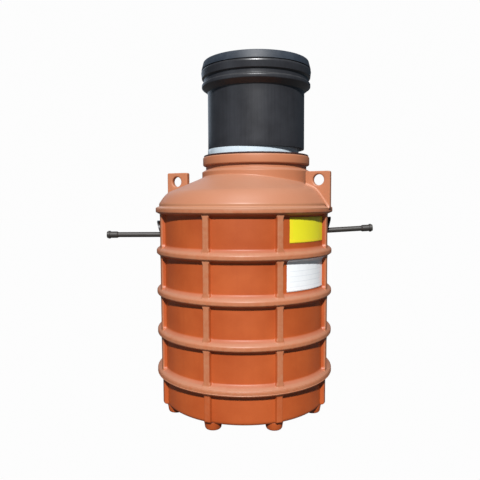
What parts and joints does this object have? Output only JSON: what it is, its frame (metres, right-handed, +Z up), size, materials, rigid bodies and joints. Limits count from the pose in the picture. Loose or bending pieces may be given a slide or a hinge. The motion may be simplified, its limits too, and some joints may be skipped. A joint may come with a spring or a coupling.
{
  "type": "grease separator",
  "caption": "Vertical grease separator for burial: ribbed plastic tank on feet, domed top with lifting lugs, eccentric neck, riser with cover, inlet and outlet pipes.",
  "frame": {"origin": "on the floor plane under the feet, midway between the two pipe ends (the tank axis stands 26.5 mm towards +X of it)", "axes": "+Z up along the tank axis, +X towards the inlet, -X towards the outlet, -Y towards the front with the two stickers"},
  "size_m": [1.6461, 1.074, 2.119],
  "materials": {
    "tank_plastic": "rotationally moulded terracotta plastic, satin",
    "riser_plastic": "black extruded plastic, satin",
    "cover_plastic": "dusty blue-grey plastic",
    "sleeve_plastic": "pale blue-grey, glossy",
    "spigot_plastic": "black plastic",
    "pipe_plastic": "grey extruded plastic",
    "seal_rubber": "black sealing rubber"
  },
  "bodies": {
    "root": {"cover_seal": "seal_rubber", "foot_1": "tank_plastic", "foot_2": "tank_plastic", "foot_3": "tank_plastic", "foot_4": "tank_plastic", "foot_5": "tank_plastic", "foot_6": "tank_plastic", "foot_7": "tank_plastic", "foot_8": "tank_plastic", "inlet_pipe": "pipe_plastic", "inlet_pipe_seal": "seal_rubber", "inlet_plug": "spigot_plastic", "inlet_spigot": "spigot_plastic", "lifting_lug_left": "tank_plastic", "lifting_lug_right": "tank_plastic", "neck_collar": "tank_plastic", "neck_seal": "seal_rubber", "outlet_pipe": "pipe_plastic", "outlet_pipe_seal": "seal_rubber", "outlet_plug": "spigot_plastic", "outlet_spigot": "spigot_plastic", "riser_cover": "cover_plastic", "riser_pipe": "riser_plastic", "riser_sleeve": "sleeve_plastic", "tank_base": "tank_plastic", "tank_body": "tank_plastic", "tank_dome": "tank_plastic"}
  },
  "joints": []
}
